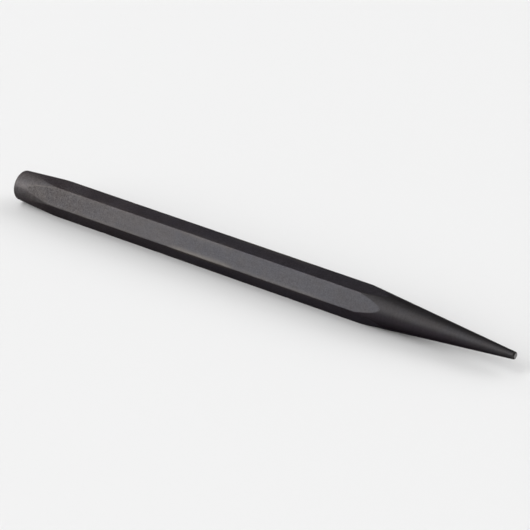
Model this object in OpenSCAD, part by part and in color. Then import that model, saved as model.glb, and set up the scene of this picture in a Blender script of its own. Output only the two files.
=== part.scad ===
// Line-up punch: one piece of hexagon bar, lying on one of its flats.
// The struck end is tapered to a round head. The other end is a long round taper to a small flat point.
// X runs along the bar towards the point, Z is up, and the origin is under the middle of the length.

/* [Bar] */
// Width of the hexagon bar across its flats
bar_flats = 7.94; // [6.6:0.01:14]
// How far the six long corners of the bar are taken back from sharp
corner_break = 0.04; // [0.01:0.01:0.3]
// Length from the struck face to the point
overall_length = 139.7; // [80:0.1:250]

/* [Struck end] */
// Diameter of the head where its taper runs out at the struck face
head_d = 7.3; // [5.5:0.05:8.8]
// Slope of the head's taper to the axis, in degrees
head_taper = 4.3; // [2:0.1:30]
// Radius on the rim of the struck face
head_rim_radius = 0.25; // [0.05:0.05:1.5]

/* [Point] */
// Diameter of the point where its taper runs out at the end
point_d = 1.7; // [1:0.05:5]
// Slope of the point's taper to the axis, in degrees
point_taper = 5.4; // [3:0.1:20]
// Radius on the edge of the flat point
point_edge_radius = 0.35; // [0.05:0.05:0.45]

/* [Hidden] */

// Fineness of round shapes
$fn = 96;
// Steps in the rounding of each end's rim
rim_steps = 8;

// A hexagon's sides, and half the angle that one side takes up
sides = 6;
half_side = 180 / sides;

// Radius of the bar over its corners, when sharp and as taken back
sharp_r = bar_flats / 2 / cos(half_side);
corner_r = sharp_r - corner_break;

// Length of each taper, from its end to where it runs out on the corners
head_run = (corner_r - head_d / 2) / tan(head_taper);
point_run = (corner_r - point_d / 2) / tan(point_taper);

// Outline of a rounded rim, from the flat end to the taper, as [distance from the axis, distance from the end].
// The arc touches the end and the taper, which leans out from half of end_d by the angle taper.
function rim(end_d, taper, radius) =
    let (centre = end_d / 2 + radius * tan(taper) - radius / cos(taper))
    [
        for (i = [0:rim_steps])
            let (turn = (90 - taper) * i / rim_steps)
            [centre + radius * sin(turn), radius - radius * cos(turn)]
    ];

// The same outline at the other end of the bar, from the taper to the flat end
function far_rim(points) =
    [for (i = [len(points) - 1:-1:0]) [points[i][0], overall_length - points[i][1]]];

// Half outline that the bar is turned to, with the axis at the left
module turned_outline() {
    polygon(concat(
        [[0, 0]],
        rim(head_d, head_taper, head_rim_radius),
        [[corner_r, head_run], [corner_r, overall_length - point_run]],
        far_rim(rim(point_d, point_taper, point_edge_radius)),
        [[0, overall_length]]
    ));
}

// The whole punch: a hexagon bar with two flats level, turned at both ends and along its corners
module punch_bar() {
    color("#3a393b")
        translate([-overall_length / 2, 0, bar_flats / 2])
            rotate([90, 0, 90])
                intersection() {
                    linear_extrude(overall_length)
                        circle(r = sharp_r, $fn = sides);
                    rotate_extrude()
                        turned_outline();
                }
}

punch_bar();
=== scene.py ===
import functools
import math
from types import SimpleNamespace

import bpy
import numpy as np
from mathutils import Matrix, Vector

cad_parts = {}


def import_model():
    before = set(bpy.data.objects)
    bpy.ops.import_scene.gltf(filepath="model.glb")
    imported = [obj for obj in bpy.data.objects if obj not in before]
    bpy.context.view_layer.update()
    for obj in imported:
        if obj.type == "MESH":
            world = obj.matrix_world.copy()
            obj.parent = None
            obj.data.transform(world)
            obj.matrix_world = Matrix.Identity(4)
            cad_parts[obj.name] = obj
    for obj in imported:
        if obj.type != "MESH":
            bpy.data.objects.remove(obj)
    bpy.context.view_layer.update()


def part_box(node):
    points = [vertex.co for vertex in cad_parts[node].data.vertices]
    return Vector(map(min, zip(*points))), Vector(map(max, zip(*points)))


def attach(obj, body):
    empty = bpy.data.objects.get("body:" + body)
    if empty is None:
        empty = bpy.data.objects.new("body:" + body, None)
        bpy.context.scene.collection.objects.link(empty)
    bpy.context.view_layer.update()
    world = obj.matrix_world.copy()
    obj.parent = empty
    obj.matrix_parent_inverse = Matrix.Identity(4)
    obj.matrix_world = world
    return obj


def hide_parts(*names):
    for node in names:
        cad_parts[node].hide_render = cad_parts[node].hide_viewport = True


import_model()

MM = 0.001
NODE = "punch_bar"

# Bar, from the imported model
bar_low, bar_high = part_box(NODE)
BAR_LENGTH = bar_high.x - bar_low.x
BAR_FLATS = bar_high.z - bar_low.z
CORNER_REACH = (bar_high.y - bar_low.y) / 2
STRUCK_X = bar_low.x
BOTTOM_Z = bar_low.z
AXIS_Z = (bar_low.z + bar_high.z) / 2

# Hexagon with rounded corners
SIDES = 6
SIDE_TURN = 2 * math.pi / SIDES
HALF_SIDE = SIDE_TURN / 2
SHARP_REACH = BAR_FLATS / 2 / math.cos(HALF_SIDE)
CORNER_RADIUS = (SHARP_REACH - CORNER_REACH) / (1 / math.cos(HALF_SIDE) - 1)
CORNER_CENTRE = (BAR_FLATS / 2 - CORNER_RADIUS) / math.cos(HALF_SIDE)

# Turned ends: radius where the taper runs out at the face, slope of the taper, radius of the rim
HEAD_R = 7.3 * MM / 2
HEAD_SLOPE = math.radians(4.3)
HEAD_RIM = 0.25 * MM
POINT_R = 1.7 * MM / 2
POINT_SLOPE = math.radians(5.4)
POINT_RIM = 0.35 * MM

# How far each taper is ground off the bar's axis, and the way that it is off towards.
# This and every other way round the bar is an angle from +Y towards +Z.
HEAD_OFF = 0.03 * MM
HEAD_OFF_WAY = math.radians(-90)
POINT_OFF = 0.02 * MM
POINT_OFF_WAY = math.radians(20)

# Strip of the head's taper that is ground flatter than the rest:
# loss of slope, the way it faces and its half width
HEAD_STRIP_LOSS = math.radians(0.8)
HEAD_STRIP_WAY = math.radians(97)
HEAD_STRIP_SPREAD = math.radians(18)

# Rounding of the ridges where the tapers meet the flats, as the loss of radius that it spreads over.
# The head's ridge is rounded more, apart from the stretch that faces one way.
POINT_RIDGE = 0.012 * MM
HEAD_RIDGE = 0.14 * MM
HEAD_CRISP_RIDGE = 0.02 * MM
HEAD_CRISP_WAY = math.radians(150)
HEAD_CRISP_SPREAD = math.radians(30)

# Fineness of the mesh, with the rows beside each ridge as distances from it in millimetres
CORNER_STEPS = 4
FLAT_STEPS = 16
RIM_STEPS = 8
FACE_RINGS = 6
HEAD_ROWS = 14
POINT_ROWS = 60
SHANK_ROWS = 200
RIDGE_OFFSETS = [-0.4, -0.22, -0.1, 0.0, 0.1, 0.22, 0.4]

# Small dents on the corners: where they lie, as a share of the length,
# then their depth and half length in millimetres, and their half width
DENT_SEED = 11
DENT_COUNT = 16
DENT_PLACE = (0.12, 0.68)
DENT_DEPTH = (0.02, 0.055)
DENT_LENGTH = (0.35, 0.9)
DENT_WIDTH = 0.22 * MM

# A dent or rubbed stretch reaches round the bar no further than the angle with this cosine
NEAR_COSINE = 0.5

# Marks that the mesh carries for the finish, among them painted shade and a painted highlight, with their
# values in the middle of the struck face and in the middle of the point's face
MARKS = {
    "edge": (0, 0),
    "rubbed": (0, 0),
    "struck_face": (1, 0),
    "head_taper": (1, 0),
    "point_taper": (0, 1),
    "point_face": (0, 1),
    "dark": (0, 0),
    "tinge": (0, 0),
    "grainy": (0, 0),
}

# Where one finish gives way to the next: half width at a taper's ridge, and distances from an end's face
TAPER_EDGE = 0.3 * MM
FACE_EDGE = (0.0005 * MM, 0.005 * MM)

# Edge wear: half width along the corners, and on the head's rim its half length and how far in it starts
CORNER_WEAR_WIDTH = 0.32 * MM
RIM_WEAR_LENGTH = 0.3 * MM
RIM_WEAR_DEPTH = 0.6 * MM

# Lighter stretches in the colour of rubbed oxide, on corners where the oxide is rubbed and as patches
# across flats:
# corner, then in millimetres the place and half length along X and the half width, and last the strength.
# Corners are counted from +Y towards +Z, and a flat lies half way between two of them.
FRONT_CORNER = 3
UPPER_FRONT_CORNER = 2
FRONT_FLAT = 2.5
LOWER_FRONT_FLAT = 3.5
UPPER_BACK_CORNER = 1
BACK_CORNER = 0
LOWER_FRONT_CORNER = 4
RUBBED_BANDS = [
    (FRONT_CORNER, -12.4, 11.0, 0.68, 1.12),
    (FRONT_CORNER, -46.0, 22.0, 0.6, 0.3),
    (FRONT_CORNER, 9.0, 15.0, 0.6, 0.3),
    (UPPER_FRONT_CORNER, -49.0, 7.0, 0.75, 0.28),
    (UPPER_FRONT_CORNER, -18.0, 16.0, 0.75, 0.24),
    (FRONT_FLAT, -63.0, 5.0, 3.0, 0.15),
    (FRONT_FLAT, -31.0, 15.0, 3.0, 0.13),
    (LOWER_FRONT_FLAT, -45.0, 38.0, 3.0, 0.17),
    (UPPER_BACK_CORNER, 4.0, 16.0, 0.75, 0.8),
    (LOWER_FRONT_CORNER, -18.0, 11.0, 0.75, 0.7),
    (BACK_CORNER, -30.0, 9.0, 0.75, 0.8),
]

# Share of a stretch's half length that has its full strength
BAND_CORE = 0.55

# Rubbing of the point's rim: strength, and the distances from the point between which it fades
POINT_RUB = 0.4
POINT_RUB_FADE = (0.6 * POINT_RIM, 1.5 * POINT_RIM)

# Rubbing of the head's ridge all round, and a painted highlight on the stretch of it that faces one way:
# strength all round and on that stretch, and half width across the ridge
RIDGE_WEAR = 0.15
RIDGE_PAINTED_HIGHLIGHT = 0.75
RIDGE_HIGHLIGHT_WAY = math.radians(131)
RIDGE_HIGHLIGHT_SPREAD = math.radians(12)
RIDGE_RUB_AND_HIGHLIGHT_WIDTH = 0.2 * MM

# Painted shade on the head's taper, on its upper side near the ridge and on its lower front side, taking
# away some of its lighter tone:
# the way each side faces, half width, and the share lost away from the ridge and at the ridge
HEAD_PAINTED_SHADES = [
    (math.radians(90), math.radians(28), 0.0, 0.55),
    (math.radians(215), math.radians(26), 0.6, 0.65),
]
HEAD_PAINTED_SHADE_LENGTH = 6.5 * MM

# Painted shade, darkening the colour on the side of the point's taper that faces down and to the front:
# the way it faces, half width, share of tone lost
POINT_PAINTED_SHADE_WAY = math.radians(220)
POINT_PAINTED_SHADE_SPREAD = math.radians(36)
POINT_PAINTED_SHADE = 0.42

# Painted purple cast of shade on the side of the point's taper that faces the front and a little down: the
# way it faces, half width, and the distance from the point at which it reaches its full strength
POINT_PAINTED_CAST_WAY = math.radians(188)
POINT_PAINTED_CAST_SPREAD = math.radians(26)
POINT_PAINTED_CAST_LENGTH = 18 * MM

# Front flat, with a finer grain and no painted purple cast of shade: the way it faces, and the angles off
# that way between which the other flats take over, with their share of that painted cast
FRONT_WAY = math.radians(150)
FRONT_EDGE = (math.radians(27), math.radians(31))
OTHER_FLATS_PAINTED_CAST = 0.32

# Noises of the finish: lumps per metre, octaves of detail and roughness of the detail
MOTTLE = (140, 3.0, 0.55)
STAIN = (330, 2.0, 0.5)
GRAIN = (3000, 2.0, 0.6)
SPECKLE = (1150, 2.0, 0.5)
FACE_RING_MARKS = (3600, 2.0, 0.5)

# Noises that are stretched along the bar or round it, with lumps per metre along X, Y and Z
DRAWN_MARKS = ((90, 3800, 3800), 2.0, 0.5)
GROUND_MARKS = ((2000, 330, 330), 3.0, 0.65)

# Range that a noise mostly keeps to, and a wider one that it hardly leaves
NOISE_RANGE = (0.3, 0.7)
WIDE_NOISE_RANGE = (0.25, 0.75)

# Oxide far from the head and near it, rubbed oxide, which also paints a highlight on the head's ridge,
# oxide on worn edges, and the steel of the point's face
COOL_OXIDE = (0.0414, 0.0406, 0.0442, 1)
WARM_OXIDE = (0.0418, 0.0378, 0.0370, 1)
RUBBED_OXIDE_AND_HIGHLIGHT = (0.0736, 0.0676, 0.0632, 1)
WORN_OXIDE = (0.0704, 0.0640, 0.0584, 1)
BARE_STEEL = (0.275, 0.27, 0.27, 1)

# Factor on the colour for the painted purple cast of shade, and tint of reflections at a glancing angle
PAINTED_SHADE_PURPLE = (1.0, 0.89, 1.0, 1)
GLANCING_TINT = (0.450, 0.433, 0.450, 1)

# Share of warm oxide: the places along X between which it falls, its values there,
# the swing of the stains, and what the point's taper adds
WARM_STRETCH = (-58 * MM, -12 * MM)
WARM_SHARES = (0.75, 0.12)
STAIN_SWING = 0.22
POINT_WARMTH = 0.33

# Coarseness of the tone: the places along X between which it falls, its values there,
# the share left on the tapers, and what the flats other than the front one add
COARSE_STRETCH = (-62 * MM, -30 * MM)
COARSE_AMOUNTS = (0.22, 0.095)
TAPER_COARSE_SHARE = 0.6
OTHER_FLATS_COARSE = 0.08

# Swing of each noise in the tone, as a factor on the coarseness
MOTTLE_SWING = 0.8
GRAIN_SWING = 2.3
SPECKLE_SWING = 0.65

# Swing of the drawn and ground marks in the tone, off the head's taper and on it
MARK_SWING = (0.10, 0.20)

# Tone, as a factor: on the tapers, and at each end of the bar,
# with the places along X between which it changes
HEAD_TAPER_TONE = 1.42
POINT_TAPER_TONE = 0.815
HEAD_END = (-62 * MM, -32 * MM)
HEAD_END_TONE = 1.2
POINT_END = (15 * MM, 30 * MM)
POINT_END_TONE = 0.95

# Patchiness of rubbed oxide, the mottling that edge wear shows in, and its most
RUB_PATCHES = (0.75, 1.0)
WORN_MOTTLE = (0.42, 0.62)
WORN_MOST = 0.22

# Roughness: over the mottling, the swing of the marks,
# and what the head's end adds off its taper and on it
ROUGHNESS = (0.41, 0.45)
MARK_ROUGHNESS = 0.04
HEAD_END_ROUGHNESS = (0.06, 0.01)

# Relief of the marks and of the grain: strength and height
MARK_RELIEF = (0.5, 0.02 * MM)
GRAIN_RELIEF = (0.25, 0.01 * MM)

# Floor, in metres, set a hair under the punch so that no two faces lie in one plane
FLOOR_HALF = 5.0
FLOOR_DROP = 0.005 * MM
FLOOR_NOISE = (3.0, 2.0, 0.5)
FLOOR_TONES = [(0.78, 0.78, 0.78, 1), (0.79, 0.79, 0.79, 1)]

# Lamps: azimuth and elevation in degrees, width and height in metres, and radiance
LAMP_DISTANCE = 20.0
LAMPS = {
    "key": (-38.7, 31.2, 13.15, 17.0, 4.7),
    "left_fill": (-119, 36.5, 13.0, 17.0, 1.5),
    "overhead": (-70, 60.5, 11.0, 9.5, 3.5),
    "back_right": (150, 36, 24.0, 12.0, 2.1),
}

# Surround: its strength below and above a soft edge, and what a band at the horizon adds.
# Both edges are sines of the elevation.
SKY_EDGE = (0.38, 0.72)
SKY_STRENGTHS = (0.44, 0.07)
HORIZON_EDGE = (0.0, 0.2)
HORIZON_STRENGTHS = (0.44, 0.0)

# Camera, with its lens and sensor in millimetres and its nearest and furthest sight in metres
CAMERA_PLACE = Vector((339.59, -445.70, 307.25)) * MM
CAMERA_AZIMUTH = math.radians(37.077)
CAMERA_ELEVATION = math.radians(28.417)
CAMERA_ROLL = math.radians(-0.647)
CAMERA_LENS = 190.1
CAMERA_SENSOR = 36
CAMERA_SIGHT = (0.01, 50)


def smooth_step(value, start, end):
    """0 before start, 1 after end, smooth between."""
    share = np.clip((value - start) / (end - start), 0, 1)
    return share * share * (3 - 2 * share)


def bell(distance, half_width):
    """1 in the middle, falling smoothly to nothing well past half_width."""
    return np.exp(-((distance / half_width) ** 2))


def turn_from(angles, way):
    """Angle round the bar from one way, the shorter way round."""
    return np.angle(np.exp(1j * (angles - way)))


def facing(angles, way, half_width):
    """1 on the side of the bar that faces one way, 0 on the others, soft between."""
    return np.exp(-((turn_from(angles, way) / half_width) ** 4))


def across_from(angles, way):
    """Distance across the bar from the line along it that faces one way, endless past its near side."""
    turn = turn_from(angles, way)
    return np.where(np.cos(turn) > NEAR_COSINE, CORNER_REACH * np.sin(turn), np.inf)


def corner_point(corner, turn):
    """Point on a corner's rounding, as a place across the bar."""
    centre = CORNER_CENTRE * np.array([math.cos(corner), math.sin(corner)])
    return centre + CORNER_RADIUS * np.array([math.cos(corner + turn), math.sin(corner + turn)])


def section():
    """Angle and reach of each column round the rounded hexagon, from the +Y corner."""
    corners = [SIDE_TURN * side for side in range(SIDES + 1)]
    turns = np.linspace(-HALF_SIDE, HALF_SIDE, CORNER_STEPS + 1)
    shares = np.linspace(0, 1, FLAT_STEPS + 1)[1:-1]
    points = []
    for corner, following in zip(corners, corners[1:]):
        arc = [corner_point(corner, turn) for turn in turns]
        start = arc[-1]
        end = corner_point(following, turns[0])
        points += arc
        points += [start + (end - start) * share for share in shares]
    points = np.array(points)
    return np.arctan2(points[:, 1], points[:, 0]), np.hypot(points[:, 0], points[:, 1])


def head_radius(angle):
    """Radius of the head's taper at the struck face, about the bar's axis."""
    return HEAD_R + HEAD_OFF * np.cos(angle - HEAD_OFF_WAY)


def head_slope(angle):
    """Slope of the head's taper, which one strip of it falls short of."""
    return HEAD_SLOPE - HEAD_STRIP_LOSS * bell(turn_from(angle, HEAD_STRIP_WAY), HEAD_STRIP_SPREAD)


def head_ridge(angle):
    """Rounding of the head's ridge at each angle round the bar."""
    crisp = bell(turn_from(angle, HEAD_CRISP_WAY), HEAD_CRISP_SPREAD)
    return HEAD_RIDGE + (HEAD_CRISP_RIDGE - HEAD_RIDGE) * crisp


def point_radius(angle):
    """Radius of the point's taper at its end, about the bar's axis."""
    return POINT_R + POINT_OFF * np.cos(angle - POINT_OFF_WAY)


def ridge_loss(taper_r, reach, spread):
    """Loss of radius where a taper meets the hexagon, which rounds the ridge between them."""
    overlap = np.maximum(spread - np.abs(taper_r - reach), 0)
    return overlap**2 / (4 * spread)


def dents(along, angles):
    """Depth of the small dents on the corners at each point of the bar."""
    rng = np.random.default_rng(DENT_SEED)
    depth = np.zeros_like(along)
    for _ in range(DENT_COUNT):
        place = rng.uniform(*DENT_PLACE) * BAR_LENGTH
        corner = rng.integers(SIDES) * SIDE_TURN
        length = rng.uniform(*DENT_LENGTH) * MM
        deep = rng.uniform(*DENT_DEPTH) * MM
        depth += deep * bell(along - place, length) * bell(across_from(angles, corner), DENT_WIDTH)
    return depth


def end_rows(reach, end_r, slope, rim, cone_rows):
    """Rows of one end, from its face to just past the ridge: distance from the face, and radius.

    end_r and slope are the taper's radius at the face and its slope, in each column.
    """
    rim_centre = end_r + rim * np.tan(slope) - rim / np.cos(slope)
    rim_reach = rim * (1 - np.sin(slope))
    run = (reach - end_r) / np.tan(slope)
    level = np.zeros_like(reach)
    rows = []
    for share in np.linspace(0, 1, FACE_RINGS + 1)[1:]:
        rows.append((level, share * rim_centre))
    for turn in np.linspace(level, math.pi / 2 - slope, RIM_STEPS + 1)[1:]:
        rows.append((rim * (1 - np.cos(turn)), rim_centre + rim * np.sin(turn)))
    cone_end = run + RIDGE_OFFSETS[0] * MM
    for share in np.linspace(0, 1, cone_rows + 1)[1:-1]:
        along = rim_reach + share * (cone_end - rim_reach)
        rows.append((along, end_r + along * np.tan(slope)))
    for offset in RIDGE_OFFSETS:
        along = run + offset * MM
        rows.append((along, np.minimum(end_r + along * np.tan(slope), reach)))
    return rows


def punch_rows(angle, reach):
    """Rows of the whole punch with crisp ridges: distance from the struck face, and radius."""
    head = end_rows(reach, head_radius(angle), head_slope(angle), HEAD_RIM, HEAD_ROWS)
    point = end_rows(reach, point_radius(angle), POINT_SLOPE, POINT_RIM, POINT_ROWS)
    start = head[-1][0]
    stop = BAR_LENGTH - point[-1][0]
    shares = np.linspace(0, 1, SHANK_ROWS + 1)[1:-1]
    shank = [(start + share * (stop - start), reach) for share in shares]
    return head + shank + [(BAR_LENGTH - along, radius) for along, radius in reversed(point)]


def punch_grid():
    """Grid from the struck face to the point's: distance along, radius, angle, and the hexagon's reach."""
    angle, reach = section()
    rows = punch_rows(angle, reach)
    along = np.array([row[0] for row in rows])
    radius = np.array([row[1] for row in rows])
    angles = np.broadcast_to(angle, along.shape)
    head_r = head_radius(angles) + along * np.tan(head_slope(angles))
    point_r = point_radius(angles) + (BAR_LENGTH - along) * math.tan(POINT_SLOPE)
    radius = radius - ridge_loss(head_r, reach, head_ridge(angles))
    radius = radius - ridge_loss(point_r, reach, POINT_RIDGE)
    radius = radius - dents(along, angles)
    return along, radius, angles, reach


def ridge_distance(along, angles, reach):
    """Distance along the bar from each point to the nearer ridge, positive on the flats."""
    head_run = (reach - head_radius(angles)) / np.tan(head_slope(angles))
    point_run = (reach - point_radius(angles)) / math.tan(POINT_SLOPE)
    return np.minimum(along - head_run, BAR_LENGTH - along - point_run)


def corner_turn(angles):
    """Angle round the bar from the nearest corner."""
    return np.mod(angles + HALF_SIDE, SIDE_TURN) - HALF_SIDE


def on_face(distance):
    """1 on an end's face, 0 off it, from the distance along the bar."""
    return 1 - smooth_step(distance, *FACE_EDGE)


def edge_wear(along, radius, angles, taper):
    """How much each point is an edge: the bar's corners and the head's rim."""
    from_corner = np.abs(radius * np.sin(corner_turn(angles)))
    corner = bell(from_corner, CORNER_WEAR_WIDTH) * (1 - taper)
    rim = bell(along, RIM_WEAR_LENGTH) * smooth_step(radius, HEAD_R - RIM_WEAR_DEPTH, HEAD_R)
    return np.maximum(corner, rim)


def ridge_rub_and_painted_highlight(angles, from_ridge):
    """How much rubbing the head's ridge has, with a painted highlight on one stretch of it. It runs
    aslant, so it is nearer than it is along the bar.
    """
    from_middle = HALF_SIDE - np.abs(corner_turn(angles))
    aslant = math.tan(HEAD_SLOPE) / np.hypot(math.tan(HEAD_SLOPE), np.sin(from_middle))
    highlight_side = bell(turn_from(angles, RIDGE_HIGHLIGHT_WAY), RIDGE_HIGHLIGHT_SPREAD)
    rub_and_highlight_strength = RIDGE_WEAR + (RIDGE_PAINTED_HIGHLIGHT - RIDGE_WEAR) * highlight_side
    return rub_and_highlight_strength * bell(from_ridge * aslant, RIDGE_RUB_AND_HIGHLIGHT_WIDTH)


def rubbed_bands(along, angles):
    """How much each point of the corners and flats takes the lighter colour of the stretches."""
    rubbed = np.zeros_like(along)
    for corner, place, half_length, half_width, strength in RUBBED_BANDS:
        from_place = np.abs(STRUCK_X + along - place * MM)
        length = 1 - smooth_step(from_place, BAND_CORE * half_length * MM, half_length * MM)
        width = bell(across_from(angles, corner * SIDE_TURN), half_width * MM)
        rubbed = np.maximum(rubbed, strength * length * width)
    return rubbed


def head_painted_shade(angles, from_ridge):
    """How much of the head's lighter tone is lost at each point to painted shade."""
    near_ridge = smooth_step(from_ridge, -HEAD_PAINTED_SHADE_LENGTH, 0)
    lost = np.zeros_like(angles)
    for way, half_width, start, end in HEAD_PAINTED_SHADES:
        lost = lost + facing(angles, way, half_width) * (start + (end - start) * near_ridge)
    return lost


def point_painted_cast(angles, from_point):
    """How much the painted purple cast of shade shows at each point of the point's taper."""
    side = facing(angles, POINT_PAINTED_CAST_WAY, POINT_PAINTED_CAST_SPREAD)
    return side * smooth_step(from_point, 0, POINT_PAINTED_CAST_LENGTH)


def punch_marks(along, radius, angles, reach):
    """How much of each mark of the finish every point of the grid has."""
    from_point = BAR_LENGTH - along
    from_ridge = ridge_distance(along, angles, reach)
    head_half = along < BAR_LENGTH / 2
    taper = 1 - smooth_step(from_ridge, -TAPER_EDGE, TAPER_EDGE)
    head = taper * head_half
    point = taper * ~head_half
    other_flats = smooth_step(np.abs(turn_from(angles, FRONT_WAY)), *FRONT_EDGE) * (1 - taper)
    rubbed = [
        rubbed_bands(along, angles) * (1 - taper),
        POINT_RUB * (1 - smooth_step(from_point, *POINT_RUB_FADE)),
        # rubbing of the head's ridge, and a painted highlight on one stretch of it
        ridge_rub_and_painted_highlight(angles, from_ridge) * head_half,
    ]
    return {
        "edge": edge_wear(along, radius, angles, taper),
        "rubbed": np.maximum.reduce(rubbed),
        "struck_face": on_face(along),
        # the head's taper, less where painted shade falls on it
        "head_taper": head * (1 - head_painted_shade(angles, from_ridge)),
        "point_taper": point,
        "point_face": on_face(from_point),
        # painted shade on the side of the point's taper that faces down and to the front
        "dark": POINT_PAINTED_SHADE * facing(angles, POINT_PAINTED_SHADE_WAY, POINT_PAINTED_SHADE_SPREAD) * point,
        # painted purple cast of shade on the point's taper and on the flats other than the front one
        "tinge": point_painted_cast(angles, from_point) * point + OTHER_FLATS_PAINTED_CAST * other_flats,
        "grainy": other_flats,
    }


def grid_faces(rows, columns):
    """Faces of a tube of rows and columns that a middle point closes at each end."""
    number = np.arange(rows * columns).reshape(rows, columns).tolist()
    struck_middle = rows * columns
    point_middle = struck_middle + 1
    faces = []
    for column in range(columns):
        beside = (column + 1) % columns
        faces.append([struck_middle, number[0][beside], number[0][column]])
        for row, following in zip(number, number[1:]):
            faces.append([row[column], row[beside], following[beside], following[column]])
        faces.append([point_middle, number[-1][column], number[-1][beside]])
    return faces


def punch_mesh():
    """The whole punch as one closed mesh that carries the finish's marks."""
    along, radius, angles, reach = punch_grid()
    grid = np.stack([
        STRUCK_X + along,
        radius * np.cos(angles),
        AXIS_Z + radius * np.sin(angles),
    ], axis=-1)
    middles = [[STRUCK_X, 0, AXIS_Z], [STRUCK_X + BAR_LENGTH, 0, AXIS_Z]]
    points = np.vstack([grid.reshape(-1, 3), middles])
    mesh = bpy.data.meshes.new("punch_body")
    mesh.from_pydata(points.tolist(), [], grid_faces(*along.shape))
    mesh.update()
    mesh.shade_smooth()
    for name, values in punch_marks(along, radius, angles, reach).items():
        layer = mesh.attributes.new(name, "FLOAT", "POINT")
        layer.data.foreach_set("value", np.append(values.ravel(), MARKS[name]).astype(np.float32))
    return mesh


class Nodes:
    """Short ways to add the nodes of one shader."""

    # A mix node's colour sockets share their names with others, so they are known by number
    MIX_FACTOR = 0
    MIX_A = 6
    MIX_B = 7
    MIX_RESULT = 2

    def __init__(self, tree):
        self.tree = tree
        tree.nodes.clear()

    def add(self, kind, inputs, **settings):
        node = self.tree.nodes.new(kind)
        for name, value in settings.items():
            setattr(node, name, value)
        for name, value in inputs.items():
            self.put(node.inputs[name], value)
        return node

    def put(self, socket, value):
        if isinstance(value, bpy.types.NodeSocket):
            self.tree.links.new(value, socket)
        else:
            socket.default_value = value

    def place(self):
        """Place on the object, in metres."""
        return self.add("ShaderNodeTexCoord", {}).outputs["Object"]

    def part(self, vector, axis):
        return self.add("ShaderNodeSeparateXYZ", {"Vector": vector}).outputs[axis]

    def attribute(self, name):
        return self.add("ShaderNodeAttribute", {}, attribute_name=name).outputs["Fac"]

    def noise(self, vector, scale, detail, roughness):
        inputs = {"Vector": vector, "Scale": scale, "Detail": detail, "Roughness": roughness}
        return self.add("ShaderNodeTexNoise", inputs).outputs["Fac"]

    def stretched_noise(self, vector, scales, detail, roughness):
        stretched = self.add("ShaderNodeMapping", {"Vector": vector, "Scale": scales})
        return self.noise(stretched.outputs["Vector"], 1.0, detail, roughness)

    def ring_noise(self, place, scale, detail, roughness):
        """Noise in rings round the bar's axis."""
        onto_axis = {"Vector": place, "Location": (0, 0, -AXIS_Z), "Scale": (0, 1, 1)}
        across = self.add("ShaderNodeMapping", onto_axis).outputs["Vector"]
        reach = self.add("ShaderNodeVectorMath", {0: across}, operation="LENGTH").outputs["Value"]
        rings = self.add("ShaderNodeCombineXYZ", {"X": reach}).outputs["Vector"]
        return self.noise(rings, scale, detail, roughness)

    def spread(self, value, start, end, low, high):
        """low up to start, high from end on, even between."""
        inputs = {"Value": value, "From Min": start, "From Max": end, "To Min": low, "To Max": high}
        return self.add("ShaderNodeMapRange", inputs).outputs["Result"]

    def between(self, share, low, high):
        """low where the share is 0, high where it is 1."""
        return self.spread(share, 0, 1, low, high)

    def swing(self, noise, low, high):
        """low to high over the noise's usual range."""
        return self.spread(noise, *NOISE_RANGE, low, high)

    def around_one(self, noise, amount):
        """1 at the noise's middle, with amount as the swing over its wider range."""
        centred = self.spread(noise, *WIDE_NOISE_RANGE, -1.0, 1.0)
        return self.sum(self.times(centred, amount), 1.0)

    def sum(self, a, b):
        return self.add("ShaderNodeMath", {0: a, 1: b}, operation="ADD").outputs[0]

    def times(self, a, b):
        return self.add("ShaderNodeMath", {0: a, 1: b}, operation="MULTIPLY").outputs[0]

    def blend(self, share, a, b):
        inputs = {"Factor": share, "A": a, "B": b}
        return self.add("ShaderNodeMix", inputs, data_type="FLOAT").outputs["Result"]

    def colour_mix(self, share, a, b, way="MIX"):
        inputs = {self.MIX_FACTOR: share, self.MIX_A: a, self.MIX_B: b}
        node = self.add("ShaderNodeMix", inputs, data_type="RGBA", blend_type=way)
        return node.outputs[self.MIX_RESULT]

    def bump(self, height, strength, distance, normal=None):
        inputs = {"Height": height, "Strength": strength, "Distance": distance}
        if normal:
            inputs["Normal"] = normal
        return self.add("ShaderNodeBump", inputs).outputs["Normal"]


def oxide_sources(make):
    """What the parts of the oxide share: the mesh's marks, the place along the bar, and the noises."""
    here = SimpleNamespace(**{name: make.attribute(name) for name in MARKS})
    here.taper = make.sum(here.head_taper, here.point_taper)
    place = make.place()
    here.along = make.part(place, "X")
    here.head_end = make.spread(here.along, *HEAD_END, 1.0, 0.0)
    here.point_end = make.spread(here.along, *POINT_END, 0.0, 1.0)
    here.mottle = make.noise(place, *MOTTLE)
    here.stain = make.noise(place, *STAIN)
    here.grain = make.noise(place, *GRAIN)
    here.speckle = make.noise(place, *SPECKLE)
    drawn = make.stretched_noise(place, *DRAWN_MARKS)
    ground = make.stretched_noise(place, *GROUND_MARKS)
    sides = make.blend(here.taper, drawn, ground)
    here.marks = make.blend(here.struck_face, sides, make.ring_noise(place, *FACE_RING_MARKS))
    return here


def oxide_body(make, here):
    """Colour of the oxide: warmer towards the head and on the point's taper, with a painted purple cast of
    shade in places.
    """
    warmth = make.spread(here.along, *WARM_STRETCH, *WARM_SHARES)
    warmth = make.sum(warmth, make.swing(here.stain, -STAIN_SWING, STAIN_SWING))
    warmth = make.sum(warmth, make.between(here.point_taper, 0.0, POINT_WARMTH))
    body = make.colour_mix(warmth, COOL_OXIDE, WARM_OXIDE)
    # painted purple cast of shade
    return make.colour_mix(here.tinge, body, PAINTED_SHADE_PURPLE, "MULTIPLY")


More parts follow.
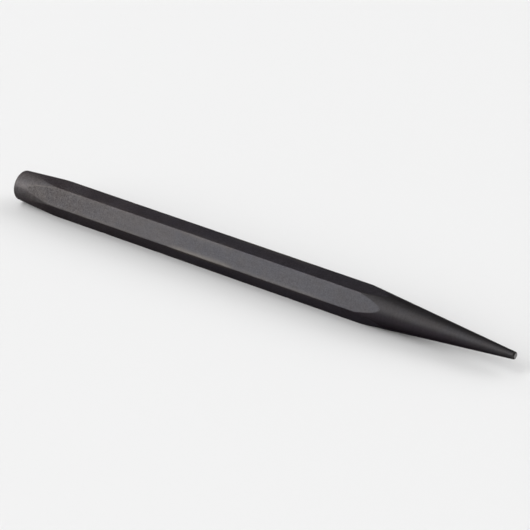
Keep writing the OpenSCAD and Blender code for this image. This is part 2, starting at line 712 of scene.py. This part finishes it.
def oxide_shade(make, here):
    """Light and shade of the oxide, as a factor on its colour, with painted shade on parts of both tapers.
    """
    coarse = make.spread(here.along, *COARSE_STRETCH, *COARSE_AMOUNTS)
    coarse = make.times(coarse, make.between(here.taper, 1.0, TAPER_COARSE_SHARE))
    coarse = make.sum(coarse, make.times(here.grainy, OTHER_FLATS_COARSE))
    factors = [
        make.around_one(here.mottle, make.times(coarse, MOTTLE_SWING)),
        make.around_one(here.grain, make.times(coarse, GRAIN_SWING)),
        make.around_one(here.speckle, make.times(coarse, SPECKLE_SWING)),
        make.around_one(here.marks, make.between(here.head_taper, *MARK_SWING)),
        make.between(here.point_taper, 1.0, POINT_TAPER_TONE),
        # painted shade on the point's taper
        make.between(here.dark, 1.0, 0.0),
        make.between(here.head_end, 1.0, HEAD_END_TONE),
        make.between(here.point_end, 1.0, POINT_END_TONE),
        # the head's taper is lighter, less so where its shade is painted
        make.between(here.head_taper, 1.0, HEAD_TAPER_TONE),
    ]
    return functools.reduce(make.times, factors)


def oxide_colour(make, here):
    """Colour of the whole finish, with lighter stretches, a painted highlight on the head's ridge, worn
    edges and the point's bare face.
    """
    shaded = make.colour_mix(1.0, oxide_body(make, here), oxide_shade(make, here), "MULTIPLY")
    rubbed = make.times(here.rubbed, make.swing(here.speckle, *RUB_PATCHES))
    # the rubbed colour also paints the highlight on the head's ridge
    banded = make.colour_mix(rubbed, shaded, RUBBED_OXIDE_AND_HIGHLIGHT)
    worn = make.times(here.edge, make.spread(here.mottle, *WORN_MOTTLE, 0.0, WORN_MOST))
    edged = make.colour_mix(worn, banded, WORN_OXIDE)
    return make.colour_mix(here.point_face, edged, BARE_STEEL)


def oxide_roughness(make, here):
    """Roughness, which follows the mottling and the marks and rises at the head's end of the bar."""
    mottled = make.swing(here.mottle, *ROUGHNESS)
    marked = make.sum(mottled, make.swing(here.marks, -MARK_ROUGHNESS, MARK_ROUGHNESS))
    rougher = make.times(here.head_end, make.between(here.head_taper, *HEAD_END_ROUGHNESS))
    return make.sum(marked, rougher)


def black_oxide():
    """Matte black oxide over steel: grain, drawn and ground marks, mottling and worn edges, with painted
    shade and a painted highlight in places.
    """
    material = bpy.data.materials.new("black_oxide")
    material.use_nodes = True
    make = Nodes(material.node_tree)
    here = oxide_sources(make)
    marked = make.bump(here.marks, *MARK_RELIEF)
    shader = make.add("ShaderNodeBsdfPrincipled", {
        "Base Color": oxide_colour(make, here),
        "Metallic": 1.0,
        "Roughness": oxide_roughness(make, here),
        "Specular Tint": GLANCING_TINT,
        "Normal": make.bump(here.grain, *GRAIN_RELIEF, marked),
    })
    make.add("ShaderNodeOutputMaterial", {"Surface": shader.outputs["BSDF"]})
    return material


def pale_floor():
    """Matte, nearly even pale grey."""
    material = bpy.data.materials.new("pale_floor")
    material.use_nodes = True
    make = Nodes(material.node_tree)
    colour = make.colour_mix(make.noise(make.place(), *FLOOR_NOISE), *FLOOR_TONES)
    shader = make.add("ShaderNodeBsdfDiffuse", {"Color": colour, "Roughness": 0.0})
    make.add("ShaderNodeOutputMaterial", {"Surface": shader.outputs["BSDF"]})
    return material


def punch():
    """The punch's one visible piece."""
    piece = bpy.data.objects.new("punch_body", punch_mesh())
    bpy.context.scene.collection.objects.link(piece)
    piece.data.materials.append(black_oxide())
    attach(piece, "root")
    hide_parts(NODE)


def floor():
    """Plain pale floor under the punch."""
    signs = [(-1, -1), (1, -1), (1, 1), (-1, 1)]
    corners = [(x * FLOOR_HALF, y * FLOOR_HALF, BOTTOM_Z - FLOOR_DROP) for x, y in signs]
    mesh = bpy.data.meshes.new("floor")
    mesh.from_pydata(corners, [], [(0, 1, 2, 3)])
    mesh.materials.append(pale_floor())
    plane = bpy.data.objects.new("floor", mesh)
    bpy.context.scene.collection.objects.link(plane)


def way_out(azimuth, elevation):
    """Way out from the punch. Azimuth is from the front, positive to the right."""
    return Vector((
        math.sin(azimuth) * math.cos(elevation),
        -math.cos(azimuth) * math.cos(elevation),
        math.sin(elevation),
    ))


def softbox(name, azimuth, elevation, width, height, radiance):
    """Rectangular lamp that faces the punch and is not seen by the camera."""
    data = bpy.data.lights.new(name, "AREA")
    data.shape = "RECTANGLE"
    data.size = width
    data.size_y = height
    data.energy = radiance * math.pi * width * height
    lamp = bpy.data.objects.new(name, data)
    back = way_out(math.radians(azimuth), math.radians(elevation))
    lamp.location = back * LAMP_DISTANCE
    lamp.rotation_euler = (-back).to_track_quat("-Z", "Y").to_euler()
    lamp.visible_camera = False
    bpy.context.scene.collection.objects.link(lamp)


def world():
    """Soft surround, pale at the horizon and dimmer overhead."""
    surround = bpy.data.worlds.new("surround")
    surround.use_nodes = True
    make = Nodes(surround.node_tree)
    way = make.add("ShaderNodeTexCoord", {}).outputs["Generated"]
    height = make.part(way, "Z")
    sky = make.spread(height, *SKY_EDGE, *SKY_STRENGTHS)
    strength = make.sum(sky, make.spread(height, *HORIZON_EDGE, *HORIZON_STRENGTHS))
    background = make.add("ShaderNodeBackground", {"Color": (1, 1, 1, 1), "Strength": strength})
    make.add("ShaderNodeOutputWorld", {"Surface": background.outputs["Background"]})
    bpy.context.scene.world = surround


def camera():
    """Camera at the photograph's place and angle."""
    data = bpy.data.cameras.new("camera")
    data.sensor_width = CAMERA_SENSOR
    data.lens = CAMERA_LENS
    data.clip_start, data.clip_end = CAMERA_SIGHT
    viewer = bpy.data.objects.new("camera", data)
    ahead = -way_out(CAMERA_AZIMUTH, CAMERA_ELEVATION)
    level = ahead.to_track_quat("-Z", "Y").to_matrix()
    viewer.rotation_euler = (level @ Matrix.Rotation(CAMERA_ROLL, 3, "Z")).to_euler()
    viewer.location = CAMERA_PLACE
    bpy.context.scene.collection.objects.link(viewer)
    bpy.context.scene.camera = viewer


camera()
punch()
floor()
for lamp_name, lamp_values in LAMPS.items():
    softbox(lamp_name, *lamp_values)
world()
bpy.context.scene.view_settings.view_transform = "Standard"
